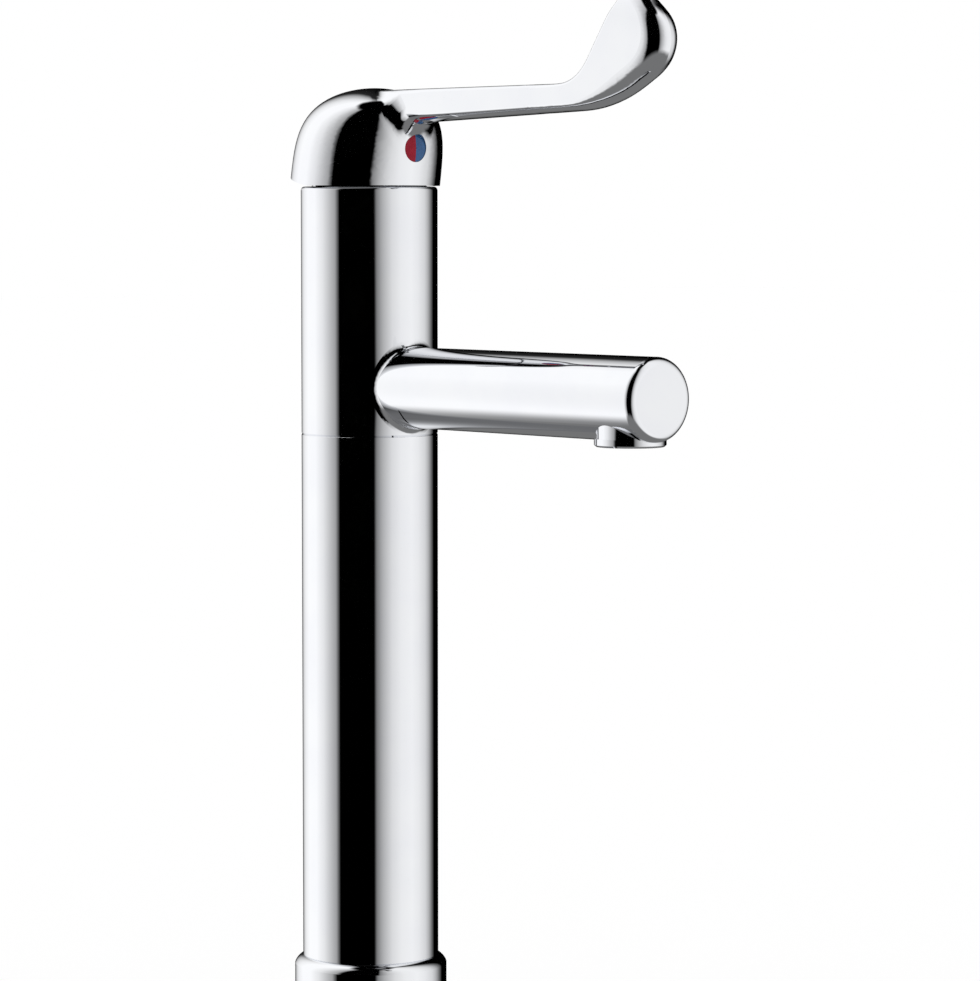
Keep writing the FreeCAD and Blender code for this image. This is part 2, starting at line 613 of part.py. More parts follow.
def dome_ring():
    def on_sphere(r, h):
        return (math.sqrt(r * r - h * h), PIVOT_Z + h)

    inner_r = DOME_R - DOME_T
    low = COUNTERBORE_Z - PIVOT_Z
    skirt_in = COUNTERBORE_R - FIT - DOME_T - DOME_SKIRT_EXTRA
    mid_h = (DOME_SKIRT_TOP + DOME_TOP) / 2
    return turned([(skirt_in, PIVOT_Z + low), (COUNTERBORE_R - FIT, PIVOT_Z + low),
                   (COUNTERBORE_R - FIT, PIVOT_Z + DOME_SKIRT_TOP), on_sphere(DOME_R, DOME_SKIRT_TOP),
                   (on_sphere(DOME_R, mid_h), on_sphere(DOME_R, DOME_TOP)),
                   on_sphere(inner_r, DOME_TOP),
                   (on_sphere(inner_r, (DOME_TOP + DOME_INNER_LOW) / 2), on_sphere(inner_r, DOME_INNER_LOW)),
                   (skirt_in, PIVOT_Z + DOME_INNER_LOW)])


def temperature_limit_ring():
    z1 = COLLAR_TOP + LIMIT_RING_H
    body = ring(LIMIT_RING_R, BARREL_R + LIMIT_GAP, COLLAR_TOP, z1)
    notches = []
    for i in range(LIMIT_TEETH):
        notch = block(LIMIT_RING_R - LIMIT_NOTCH, LIMIT_RING_R + PAST, -LIMIT_NOTCH, LIMIT_NOTCH,
                      COLLAR_TOP - PAST, z1 + PAST)
        notch.rotate(V(0, 0, 0), Z, 360 / LIMIT_TEETH * i)
        notches.append(notch)
    return body.cut(group(notches))


# Cartridge, moving pieces

def drive_pegs(grow, z0):
    return [cyl(DRIVE_PEG_R + grow, z0, COUPLER_BOTTOM + PAST, side * DRIVE_PEG_X, DISC_START + DRIVE_PEG_Y)
            for side in SIDES]


def moving_ceramic_disc():
    z0 = BASE_TOP + DISC_FIXED_T
    disc = cyl(DISC_R, z0, z0 + DISC_T, 0, DISC_START)
    chamber = block(-CHAMBER_HALF, CHAMBER_HALF, DISC_START + CHAMBER_FRONT, DISC_START + CHAMBER_REAR,
                    z0 - PAST, z0 + CHAMBER_DEPTH)
    chamber = chamber.common(cyl(DISC_R - CHAMBER_RIM, z0 - PAST, z0 + DISC_T, 0, DISC_START))
    disc = disc.cut(chamber)
    for hole in drive_pegs(FIT, COUPLER_BOTTOM - DRIVE_PEG_L - FIT):
        disc = disc.cut(hole)
    return disc


def disc_coupler():
    plate = cyl(DISC_R, COUPLER_BOTTOM, COUPLER_BOTTOM + COUPLER_T, 0, DISC_START)
    plate = plate.common(block(-COUPLER_HALF, COUPLER_HALF, -DISC_R * 2, DISC_R * 2,
                               COUPLER_BOTTOM, COUPLER_BOTTOM + COUPLER_T))
    boss = cyl(COUPLER_BOSS_R, COUPLER_BOTTOM, COUPLER_BOTTOM + COUPLER_T + COUPLER_BOSS_H, 0, DISC_START)
    body = union([plate, boss] + drive_pegs(0, COUPLER_BOTTOM - DRIVE_PEG_L))
    socket_bottom = PIVOT_Z - BALL_ARM - BALL_R - SOCKET_GAP
    return body.cut(cyl(BALL_R + SOCKET_GAP, socket_bottom, PIVOT_Z, 0, DISC_START))


def cartridge_carrier():
    cheek_in = COUPLER_HALF + CHEEK_GAP
    parts = [cyl(BARREL_R, CARRIER_Z, BARREL_TOP),
             cyl(CARRIER_FLANGE_R, CARRIER_Z, CARRIER_Z + CARRIER_FLANGE_T)]
    for side in SIDES:
        a, b = sorted((side * cheek_in, side * (cheek_in + CHEEK_T)))
        parts.append(block(a, b, -CHEEK_HALF, CHEEK_HALF, COUPLER_BOTTOM + CHEEK_LIFT, CARRIER_Z + PAST))
    body = union(parts)
    slot_x = STEM_HALF + SLOT_SIDE_GAP
    lean = math.radians(LIFT_DEG)
    rise = BARREL_TOP - PIVOT_Z
    slot_rear = rise * math.tan(lean) + STEM_HALF / math.cos(lean) + SLOT_SIDE_GAP
    body = body.cut(block(-POCKET_HALF_X, POCKET_HALF_X, -POCKET_HALF_Y, POCKET_HALF_Y,
                          CARRIER_Z - PAST, POCKET_TOP))
    body = body.cut(block(-slot_x, slot_x, -STEM_HALF - SLOT_SIDE_GAP, slot_rear,
                          POCKET_TOP - PAST, BARREL_TOP + PAST))
    body = body.cut(Part.makeCylinder(PIN_R, 4 * BARREL_R, V(-2 * BARREL_R, 0, PIVOT_Z), X))
    half = CARRIER_RING_D / 2 + FIT
    groove_r = BARREL_R - CARRIER_RING_D - FIT
    return body.cut(ring(BARREL_R + PAST, groove_r, CARRIER_RING_Z - half, CARRIER_RING_Z + half))


def carrier_ring():
    return seal_loop(BARREL_R - CARRIER_RING_D / 2, CARRIER_RING_D, CARRIER_RING_Z)


def stem_pivot_pin():
    length = 2 * (BARREL_R - PIN_INSET)
    return Part.makeCylinder(PIN_R, length, V(-length / 2, 0, PIVOT_Z), X)


# Lever

def lever_stem():
    half = STEM_HALF
    shaft = block(-half, half, -half, half, PIVOT_Z, STEM_TOP)
    top = [e for e in shaft.Edges if abs(e.BoundBox.ZMin - STEM_TOP) < 0.01]
    shaft = shaft.makeChamfer(STEM_CHAMFER, top)
    hub = Part.makeCylinder(half, 2 * half, V(-half, 0, PIVOT_Z), X)
    ball_at = V(0, DISC_START, BALL_Z)
    down = ball_at - V(0, 0, PIVOT_Z)
    neck = Part.makeCylinder(STEM_NECK_R, BALL_ARM, V(0, 0, PIVOT_Z), down)
    ball = Part.makeSphere(BALL_R, ball_at)
    body = union([shaft, hub, neck, ball])
    return body.cut(Part.makeCylinder(PIN_R + RUNNING, 4 * half, V(-2 * half, 0, PIVOT_Z), X))


def dome_r(r, share):
    """Radius of a dome at this share of its rise."""
    return r * math.sqrt(1 - share ** HOOD_FULLNESS)


def leaning(form):
    """Upright form leant forward with its sections kept level, and set on the foot."""
    change = FreeCAD.Matrix()
    change.A23 = -math.tan(math.radians(HOOD_LEAN))
    change.A24 = HOOD_BACK
    change.A34 = HOOD_FOOT_Z
    return form.transformGeometry(change)


def hood_form(inset):
    """Solid dome of the hood, moved inwards by inset."""
    r, rise = HOOD_R - inset, HOOD_RISE - inset
    shares = [math.sin(math.pi / 2 * i / (HOOD_POINTS - 1)) for i in range(HOOD_POINTS)]
    points = [V(dome_r(r, share), 0, rise * share) for share in shares]
    side = Part.BSplineCurve()
    side.interpolate(points, InitialTangent=Z, FinalTangent=X.negative())
    foot = V(r, 0, -HOOD_SKIRT)
    edges = [Part.makeLine(V(0, 0, foot.z), foot), Part.makeLine(foot, points[0]), side.toShape(),
             Part.makeLine(points[-1], V(0, 0, foot.z))]
    return leaning(Part.Face(Part.Wire(edges)).revolve(V(0, 0, 0), Z, 360))


def hood_outside():
    """The dome above its lower edge, which is level in front and rises towards the rear."""
    far = 2 * HOOD_R
    rear_z = HOOD_BOTTOM + (far - RIM_LEVEL_TO) * math.tan(math.radians(RIM_RISE_DEG))
    corners = [(-far, HOOD_BOTTOM), (RIM_LEVEL_TO, HOOD_BOTTOM), (far, rear_z),
               (far, HOOD_BOTTOM + far), (-far, HOOD_BOTTOM + far)]
    above = Part.Face(Part.makePolygon([V(-far, y, z) for y, z in corners + corners[:1]]))
    return hood_form(0).common(above.extrude(V(2 * far, 0, 0)))


def hood_cavity():
    """Plain cast hollow: a cone and two arcs that follow the dome one wall inside it."""
    r, rise = HOOD_R - HOOD_WALL, HOOD_RISE - HOOD_WALL
    side, low, mid, high = [(dome_r(r, share), rise * share) for share in CAVITY_SHARES]
    hollow = turned([(0, -HOOD_SKIRT), (r, -HOOD_SKIRT), side, (low, mid), (high, (0, rise))])
    bore = cyl(COLUMN_R + HOOD_SIDE_GAP, HOOD_BOTTOM - HOOD_SKIRT, HOOD_FOOT_Z + HOOD_RISE)
    return leaning(hollow).common(bore)


def corner_path(corners, radii):
    """Edges through (reach, height) corners in the plane x = 0, each inner corner an arc."""
    points = [V(0, -reach, height) for reach, height in corners]
    edges = []
    at = points[0]
    for before, corner, after, r in zip(points, points[1:], points[2:], radii):
        a = (before - corner).normalize()
        b = (after - corner).normalize()
        half = a.getAngle(b) / 2
        run = r / math.tan(half)
        middle_dir = (a + b).normalize()
        start = corner + a * run
        end = corner + b * run
        middle = corner + middle_dir * (r / math.sin(half) - r)
        edges.append(Part.makeLine(at, start))
        edges.append(Part.Arc(start, middle, end).toShape())
        at = end
    edges.append(Part.makeLine(at, points[-1]))
    return edges


def lever_outline():
    """Side outline of arm and blade: straight stretch ends, then rear and front paths to the tip."""
    corners = [(ARM_ROOT, ARM_TOP), (BEND_REACH, ARM_TOP), (TIP_REACH, ARM_TOP + TIP_RISE),
               (NOSE_REACH, ARM_TOP + NOSE_RISE), (BELLY_REACH, ARM_TOP - BELLY_DROP),
               (ARM_ROOT, ARM_TOP - ARM_DEPTH)]
    edges = corner_path(corners, [BEND_R, TIP_R, NOSE_R, BELLY_R])
    top_line, bend, rear_line, tip, front_line, nose, belly_line, belly, under_line = edges
    span = tip.LastParameter - tip.FirstParameter
    marks = [tip.valueAt(tip.FirstParameter + span * i / 4) for i in range(5)]
    tip_rear = Part.Arc(*marks[0:3]).toShape()
    tip_front = Part.Arc(*marks[2:5]).toShape()
    rear = Part.Wire([bend, rear_line, tip_rear])
    front = Part.Wire([tip_front, front_line, nose, belly_line, belly])
    return top_line, under_line, rear, front


def path_points(wire, start, count):
    points = wire.discretize(Number=count + 1)
    if (points[0] - start).Length > (points[-1] - start).Length:
        points.reverse()
    return points


def station_section(rear, front, half_w, nose, edge):
    """Closed section across the lever: flat back, straight sides and a rounded nose."""
    along = front - rear
    length = along.Length
    s = along.normalize()
    pull = 0.5523              # handle length that makes a quarter round

    def at(depth, x):
        return rear + s * depth + X * x

    def quarter(a, a_pull, b_pull, b):
        curve = Part.BezierCurve()
        curve.setPoles([a, a_pull, b_pull, b])
        return curve.toShape()

    edges = [Part.makeLine(at(0, edge - half_w), at(0, half_w - edge)),
             quarter(at(0, half_w - edge), at(0, half_w - edge + edge * pull),
                     at(edge - edge * pull, half_w), at(edge, half_w)),
             Part.makeLine(at(edge, half_w), at(length - nose, half_w)),
             quarter(at(length - nose, half_w), at(length - nose + nose * pull, half_w),
                     at(length, half_w * pull), at(length, 0)),
             quarter(at(length, 0), at(length, -half_w * pull),
                     at(length - nose + nose * pull, -half_w), at(length - nose, -half_w)),
             Part.makeLine(at(length - nose, -half_w), at(edge, -half_w)),
             quarter(at(edge, -half_w), at(edge - edge * pull, -half_w),
                     at(0, edge - half_w - edge * pull), at(0, edge - half_w))]
    return Part.Wire(edges)


def arm_and_blade():
    """The straight arm is a ruled prism; the blade is a smooth loft that overlaps its outer end."""
    top_line, under_line, rear, front = lever_outline()
    root_top, bend_start = [v.Point for v in top_line.Vertexes]
    belly_end, root_under = [v.Point for v in under_line.Vertexes]

    def arm_section(share, edge):
        return station_section(root_top + (bend_start - root_top) * share,
                               root_under + (belly_end - root_under) * share,
                               ARM_HALF_W, ARM_NOSE, edge)

    sections = [arm_section(1 - i * ARM_STATION_STEP, EDGE_R) for i in range(ARM_STATIONS, 0, -1)]
    neck = (ARM_NECK - ARM_ROOT) / (bend_start - root_top).Length
    arm = Part.makeLoft([arm_section(0, ROOT_EDGE_R), arm_section(neck, EDGE_R), sections[0]], True, True)
    steps = 200
    rear_points = path_points(rear, bend_start, steps)
    front_points = path_points(front, belly_end, steps)
    wide_z = ARM_TOP + BLADE_WIDE_RISE
    end_z = max(point.z for point in front_points) + BLADE_OVERRUN
    for i in range(BLADE_STATIONS):
        share = 1 - (1 - i / BLADE_STATIONS) ** BLADE_SPREAD
        index = int(round(share * steps))
        a, b = rear_points[index], front_points[index]
        depth = (b - a).Length
        grown = min(1.0, BLADE_SWELL * share)
        nose = ARM_NOSE + (BLADE_NOSE - ARM_NOSE) * grown * grown * (3 - 2 * grown)
        short = max(0.0, 1 - depth / nose)
        risen = max(0.0, (b.z - wide_z) / (end_z - wide_z))
        half_w = ARM_HALF_W * math.sqrt((1 - short * short) * (1 - risen * risen))
        sections.append(station_section(a, b, half_w, min(nose, TIP_NOSE * depth),
                                        min(EDGE_R, TIP_EDGE * depth)))
    return arm.fuse(Part.makeLoft(sections, True, False))


def lever_handle():
    outside = blended(hood_outside(), arm_and_blade(), ARM_BLEND_R)
    body = outside.cut(hood_cavity())
    stem_boss = cyl(STEM_BOSS_R, STEM_BOSS_BOTTOM, ARM_TOP)
    stem_boss = stem_boss.common(block(-STEM_BOSS_R, STEM_BOSS_R, -STEM_BOSS_R, STEM_BOSS_REAR,
                                       STEM_BOSS_BOTTOM, ARM_TOP))
    screw_boss = bar(SCREW_BOSS_R, -INDICATOR_FACE, -STEM_HALF, INDICATOR_Z)
    bosses = stem_boss.fuse(screw_boss).common(hood_form(HOOD_WALL / 2))
    body = body.fuse(bosses)
    socket = STEM_HALF + FIT
    body = body.cut(block(-socket, socket, -socket, socket, STEM_BOSS_BOTTOM - PAST, STEM_TOP + STEM_TOP_GAP))
    body = body.cut(bar(SCREW_R + FIT, -INDICATOR_FACE - PAST, 0, INDICATOR_Z))
    body = body.cut(bar(INDICATOR_R + FIT, -2 * COLUMN_R, -INDICATOR_SEAT, INDICATOR_Z))
    return body.removeSplitter()


def grub_screw():
    y1 = -STEM_HALF - FIT
    screw = bar(SCREW_R, y1 - SCREW_L, y1, INDICATOR_Z)
    key = hexagon(SCREW_KEY, 0, SCREW_L / 2)
    key.rotate(V(0, 0, 0), X, -90)
    key.translate(V(0, y1 - SCREW_L, INDICATOR_Z))
    return screw.cut(key)


def indicator():
    """Domed plug over the grub screw, turned about its own axis and laid along Y."""
    sphere_r = (INDICATOR_R ** 2 + INDICATOR_CROWN ** 2) / (2 * INDICATOR_CROWN)
    angle = math.asin(INDICATOR_R / sphere_r) / 2
    centre = INDICATOR_T + INDICATOR_CROWN - sphere_r
    middle = (sphere_r * math.sin(angle), centre + sphere_r * math.cos(angle))
    plug = turned([(0, 0), (INDICATOR_R, 0), (INDICATOR_R, INDICATOR_T),
                   (middle, (0, INDICATOR_T + INDICATOR_CROWN))])
    plug.rotate(V(0, 0, 0), X, 90)
    plug.translate(V(0, -INDICATOR_SEAT, INDICATOR_Z))
    return plug


def indicator_half(side):
    reach = 2 * INDICATOR_R
    x0, x1 = sorted((0, side * reach))
    return indicator().common(block(x0, x1, -2 * INDICATOR_FACE, 0, INDICATOR_Z - reach, INDICATOR_Z + reach))


PARTS = {
    "base_flange": base_flange,
    "deck_seal": deck_seal,
    "base_block": base_block,
    "horseshoe_gasket": lambda: horseshoe(-DECK_T - GASKET_T, -DECK_T),
    "horseshoe_plate": lambda: horseshoe(-DECK_T - GASKET_T - PLATE_T, -DECK_T - GASKET_T),
    "fixing_studs": fixing_studs,
    "stud_nuts": stud_nuts,
    "column_extension": column_extension,
    "column_o_ring": column_ring,
    "hot_supply_tube": lambda: supply_tube(-1),
    "cold_supply_tube": lambda: supply_tube(1),
    "supply_o_rings": supply_rings,
    "mixer_body": mixer_body,
    "spout_end_cap": spout_end_cap,
    "nozzle_housing": nozzle_housing,
    "nozzle_seal": lambda: seal_ring(0, NOZZLE_SEAT),
    "flow_straightener": flow_straightener,
    "cartridge_base": cartridge_base,
    "cartridge_seals": cartridge_seals,
    "fixed_ceramic_disc": fixed_ceramic_disc,
    "cartridge_housing": cartridge_housing,
    "cartridge_clamp_nut": cartridge_clamp_nut,
    "dome_ring": dome_ring,
    "temperature_limit_ring": temperature_limit_ring,
    "moving_ceramic_disc": moving_ceramic_disc,
    "disc_coupler": disc_coupler,
    "cartridge_carrier": cartridge_carrier,
    "carrier_o_ring": carrier_ring,
    "stem_pivot_pin": stem_pivot_pin,
    "lever_stem": lever_stem,
    "lever_handle": lever_handle,
    "grub_screw": grub_screw,
    "indicator_hot": lambda: indicator_half(-1),
    "indicator_cold": lambda: indicator_half(1),
}


def main():
    os.makedirs("parts", exist_ok=True)
    for name, make in PARTS.items():
        shape = make()
        shape.exportStep("parts/%s.step" % name)
        print("%-24s solids %d valid %s" % (name, len(shape.Solids), shape.isValid()))


if __name__ == "__main__":
    main()
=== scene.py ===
"""Finishes, studio and camera for a tall single lever mixer tap. Metres, +Z up, the spout points to -Y."""
import bmesh
import bpy
import json
import math
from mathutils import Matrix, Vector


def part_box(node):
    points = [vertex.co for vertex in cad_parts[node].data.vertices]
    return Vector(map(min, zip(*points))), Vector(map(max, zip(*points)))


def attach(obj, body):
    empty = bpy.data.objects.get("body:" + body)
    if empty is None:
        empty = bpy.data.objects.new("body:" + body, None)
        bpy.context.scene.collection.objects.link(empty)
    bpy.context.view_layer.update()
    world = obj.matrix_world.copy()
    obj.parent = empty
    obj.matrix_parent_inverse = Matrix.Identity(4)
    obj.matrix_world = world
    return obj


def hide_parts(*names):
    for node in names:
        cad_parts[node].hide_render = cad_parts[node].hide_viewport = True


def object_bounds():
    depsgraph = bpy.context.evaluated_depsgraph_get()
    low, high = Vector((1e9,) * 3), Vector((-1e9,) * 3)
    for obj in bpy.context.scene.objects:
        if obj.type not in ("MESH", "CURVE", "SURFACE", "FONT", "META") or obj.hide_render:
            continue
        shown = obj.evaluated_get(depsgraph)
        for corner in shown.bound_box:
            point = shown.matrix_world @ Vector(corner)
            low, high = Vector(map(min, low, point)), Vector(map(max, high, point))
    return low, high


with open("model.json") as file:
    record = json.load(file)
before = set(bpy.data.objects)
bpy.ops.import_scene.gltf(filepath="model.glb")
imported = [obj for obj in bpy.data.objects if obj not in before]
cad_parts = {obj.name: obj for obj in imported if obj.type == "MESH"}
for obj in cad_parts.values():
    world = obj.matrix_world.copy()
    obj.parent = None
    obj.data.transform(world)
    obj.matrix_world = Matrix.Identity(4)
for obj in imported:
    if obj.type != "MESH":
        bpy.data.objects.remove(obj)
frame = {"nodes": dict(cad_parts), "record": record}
cad_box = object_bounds()

# Camera: where it stands, how it is turned, and its lens
CAMERA_AT = (-0.87779, -1.06484, 0.27283)
CAMERA_TURN = 1.76             # degrees to the right of the column
CAMERA_TILT = 4.02             # degrees down
CAMERA_RANGE = 100             # farther than any part of the floor
LENS, FILM = 143.8, 36.0       # focal length and film width, both in millimetres

# Studio, seen in the chrome: brightness by direction around the tap, from the camera's own direction.
# Negative degrees lie to the left of the picture.
CARD_STOPS = [
    (-180, 0.0), (-168, 0.02), (-160, 0.45), (-150, 0.75), (-142, 0.88), (-128, 1.0), (-105, 1.0),
    (-86, 0.81), (-67, 0.47), (-60, 0.36), (-56, 0.14), (-52, 0.0),
    (8, 0.0), (12, 0.21), (22, 0.44), (38, 0.72), (54, 0.85), (75, 0.9),
    (90, 0.84), (107, 0.68), (116, 0.48), (127, 0.16), (136, 0.0), (180, 0.0),
]
CARD_LEAN = 6                  # degrees that the white cards lean to the right
TABLE_TONE = 0.17
TABLE_FROM, TABLE_TO = -0.46, -0.68   # sines of the heights where the table starts and where only it is seen
TABLE_RISE = 0.3               # how much higher the table reaches behind the tap
BEHIND_FROM = 0.6              # behind is where a direction points this far away from the camera
GAP_AT = (0.05, 0.02, 0.998)   # dark gap overhead: its middle towards the camera, to the right and upwards
GAP_FROM, GAP_TO = 21, 14      # degrees from its middle where it starts and where it is fully dark
STUDIO_LEVEL = 1.12            # brightness of the white cards
SOFT_LIGHT = 0.95              # plain light on everything that isn't mirror bright

# Floor
FLOOR_LEVEL = 0.62             # how much of the floor's brightness comes from the light that falls on it
FLOOR_HALF = 12.0              # from its middle to each side
FLOOR_GAP = 0.0005             # below the studs' ends

# Threaded studs, with a plain shank at the deck
THREAD_PITCH = 0.001
THREAD_DEPTH = 0.00061
THREAD_CREST, THREAD_ROOT = 1 / 8, 1 / 4   # flats at its crest and its root, as shares of the pitch
THREAD_SIDES = 36
THREAD_STEPS = 8               # rings of points in one pitch
SHANK_FROM, SHANK_TO = -0.008, 0.001
SHANK_R = 0.0027
STUD_BEVEL = 0.0008

# Tone noise between its two tones
DRIFT_FROM, DRIFT_TO = 0.35, 0.65

# Colour sockets of a Mix node: its two inputs and its output
MIX_A, MIX_B, MIX_OUT = 6, 7, 2


def grey(level):
    return (level, level, level, 1)


# Nodes

def link(tree, source, output, target, socket):
    tree.links.new(source.outputs[output], target.inputs[socket])


def add_node(tree, kind, values=None, **settings):
    """New node with these settings, and with these values on its input sockets."""
    node = tree.nodes.new(kind)
    for label, setting in settings.items():
        setattr(node, label, setting)
    for socket, value in (values or {}).items():
        node.inputs[socket].default_value = value
    return node


def math_node(tree, operation, *values):
    """Math node whose inputs are numbers or (node, output) pairs."""
    node = add_node(tree, "ShaderNodeMath", operation=operation)
    for socket, value in enumerate(values):
        if isinstance(value, tuple):
            link(tree, *value, node, socket)
        else:
            node.inputs[socket].default_value = value
    return node


def soft_step(tree, source, start, end):
    """0 before the start and 1 past the end, with a smooth run between them."""
    node = add_node(tree, "ShaderNodeMapRange", {"From Min": start, "From Max": end},
                    interpolation_type="SMOOTHSTEP")
    link(tree, *source, node, "Value")
    return node


def mix_tones(tree, share, first, second):
    """Mix node between two tones, each a colour or a (node, output) pair."""
    node = add_node(tree, "ShaderNodeMix", data_type="RGBA")
    link(tree, *share, node, "Factor")
    for tone, socket in ((first, MIX_A), (second, MIX_B)):
        if len(tone) == 2:
            link(tree, *tone, node, socket)
        else:
            node.inputs[socket].default_value = tone
    return node


def mix_shaders(tree, share, first, second):
    node = add_node(tree, "ShaderNodeMixShader")
    link(tree, *share, node, 0)
    link(tree, first, 0, node, 1)
    link(tree, second, 0, node, 2)
    return node


# Camera

def aim_camera():
    data = bpy.data.cameras.new("camera")
    data.lens = LENS
    data.sensor_width = FILM
    data.clip_end = CAMERA_RANGE
    camera = bpy.data.objects.new("camera", data)
    camera.location = CAMERA_AT
    to_column = math.atan2(-CAMERA_AT[0], -CAMERA_AT[1])
    heading = to_column + math.radians(CAMERA_TURN)
    camera.rotation_euler = (math.radians(90 - CAMERA_TILT), 0, -heading)
    bpy.context.scene.collection.objects.link(camera)
    bpy.context.scene.camera = camera


# Studio

def view_direction(tree):
    """Direction that a ray leaves in, with X towards the camera and Y to the right of the picture."""
    place = add_node(tree, "ShaderNodeTexCoord")
    turn = add_node(tree, "ShaderNodeVectorRotate", {"Angle": -math.atan2(CAMERA_AT[1], CAMERA_AT[0])},
                    rotation_type="Z_AXIS")
    link(tree, place, "Generated", turn, "Vector")
    return turn, "Vector"


def split(tree, direction):
    parts = add_node(tree, "ShaderNodeSeparateXYZ")
    link(tree, *direction, parts, "Vector")
    return parts


def card_tones(tree, direction):
    """White cards and the dark between them, all around the tap."""
    lean = add_node(tree, "ShaderNodeVectorRotate", {"Angle": math.radians(CARD_LEAN)},
                    rotation_type="X_AXIS")
    link(tree, *direction, lean, "Vector")
    leaning = split(tree, (lean, "Vector"))
    around = math_node(tree, "ARCTAN2", (leaning, "Y"), (leaning, "X"))
    share = math_node(tree, "MULTIPLY_ADD", (around, 0), 1 / (2 * math.pi), 0.5)
    ramp = add_node(tree, "ShaderNodeValToRGB")
    link(tree, share, 0, ramp, "Fac")
    stops = ramp.color_ramp.elements
    while len(stops) > 1:
        stops.remove(stops[-1])
    first, *others = [((degrees + 180) / 360, grey(level)) for degrees, level in CARD_STOPS]
    stops[0].position, stops[0].color = first
    for place, tone in others:
        stops.new(place).color = tone
    return ramp


def table_share(tree, direction):
    """1 where the chrome sees only the table, which reaches higher behind the tap."""
    parts = split(tree, direction)
    run = 1 - BEHIND_FROM
    behind = math_node(tree, "MULTIPLY_ADD", (parts, "X"), -1 / run, -BEHIND_FROM / run)
    behind.use_clamp = True
    height = math_node(tree, "MULTIPLY_ADD", (behind, 0), -TABLE_RISE, (parts, "Z"))
    return soft_step(tree, (height, 0), TABLE_FROM, TABLE_TO)


def gap_share(tree, direction):
    """1 in the middle of the dark gap overhead."""
    towards = add_node(tree, "ShaderNodeVectorMath", {1: GAP_AT}, operation="DOT_PRODUCT")
    link(tree, *direction, towards, 0)
    start, end = (math.cos(math.radians(degrees)) for degrees in (GAP_FROM, GAP_TO))
    return soft_step(tree, (towards, "Value"), start, end)


def light_studio():
    """World that lights the tap plainly, is white behind it, and shows the chrome the studio."""
    world = bpy.data.worlds.new("studio")
    bpy.context.scene.world = world
    world.use_nodes = True
    tree = world.node_tree
    tree.nodes.clear()
    direction = view_direction(tree)
    cards = card_tones(tree, direction)
    table = table_share(tree, direction)
    gap = gap_share(tree, direction)
    low = mix_tones(tree, (table, "Result"), (cards, "Color"), grey(TABLE_TONE))
    tones = mix_tones(tree, (gap, "Result"), (low, MIX_OUT), grey(0))
    studio = add_node(tree, "ShaderNodeBackground", {"Strength": STUDIO_LEVEL})
    link(tree, tones, MIX_OUT, studio, "Color")
    plain = add_node(tree, "ShaderNodeBackground", {"Color": grey(1), "Strength": SOFT_LIGHT})
    white = add_node(tree, "ShaderNodeBackground", {"Color": grey(1)})
    path = add_node(tree, "ShaderNodeLightPath")
    straight = math_node(tree, "MAXIMUM", (path, "Is Camera Ray"), (path, "Is Transmission Ray"))
    seen = mix_shaders(tree, (straight, 0), plain, white)
    mirrored = mix_shaders(tree, (path, "Is Glossy Ray"), seen, studio)
    output = add_node(tree, "ShaderNodeOutputWorld")
    link(tree, mirrored, 0, output, "Surface")


# Floor

def shown_rays(tree):
    """1 for rays from the camera, off a mirror or through glass, 0 for plain light."""
    path = add_node(tree, "ShaderNodeLightPath")
    first = math_node(tree, "MAXIMUM", (path, "Is Camera Ray"), (path, "Is Glossy Ray"))
    return math_node(tree, "MAXIMUM", (first, 0), (path, "Is Transmission Ray"))


def floor_finish():
    """White where the light reaches it, and darker where the tap keeps the light off."""
    material = bpy.data.materials.new("floor")
    material.use_nodes = True
    tree = material.node_tree
    tree.nodes.clear()
    matt = add_node(tree, "ShaderNodeBsdfDiffuse", {"Color": grey(FLOOR_LEVEL)})
    glow = add_node(tree, "ShaderNodeEmission", {"Color": grey(1)})
    strength = math_node(tree, "MULTIPLY", (shown_rays(tree), 0), 1 - FLOOR_LEVEL * SOFT_LIGHT)
    link(tree, strength, 0, glow, "Strength")
    both = add_node(tree, "ShaderNodeAddShader")
    link(tree, matt, 0, both, 0)
    link(tree, glow, 0, both, 1)
    output = add_node(tree, "ShaderNodeOutputMaterial")
    link(tree, both, 0, output, "Surface")
    return material


def lay_floor():
    low = cad_box[0][2] - FLOOR_GAP
    half = FLOOR_HALF
    mesh = bpy.data.meshes.new("floor")
    mesh.from_pydata([(-half, -half, low), (half, -half, low), (half, half, low), (-half, half, low)],
                     [], [(0, 1, 2, 3)])
    floor = bpy.data.objects.new("floor", mesh)
    bpy.context.scene.collection.objects.link(floor)
    floor.visible_glossy = False
    floor.data.materials.append(floor_finish())


# Effects that several finishes share

def effect(name, inputs, outputs):
    """Node group with only its ends: named inputs, a tuple for a colour or else a number, and outputs."""
    group = bpy.data.node_groups.new(name, "ShaderNodeTree")
    for label, value in inputs.items():
        kind = "NodeSocketColor" if isinstance(value, tuple) else "NodeSocketFloat"
        socket = group.interface.new_socket(label, in_out="INPUT", socket_type=kind)
        socket.default_value = value
    for label, kind in outputs.items():
        group.interface.new_socket(label, in_out="OUTPUT", socket_type=kind)
    return group, group.nodes.new("NodeGroupInput"), group.nodes.new("NodeGroupOutput")


def noise_in(group, scale, place, detail, roughness):
    """Noise whose scale and place come from (node, output) pairs."""
    noise = add_node(group, "ShaderNodeTexNoise", {"Detail": detail, "Roughness": roughness})
    link(group, *scale, noise, "Scale")
    link(group, *place, noise, "Vector")
    return noise


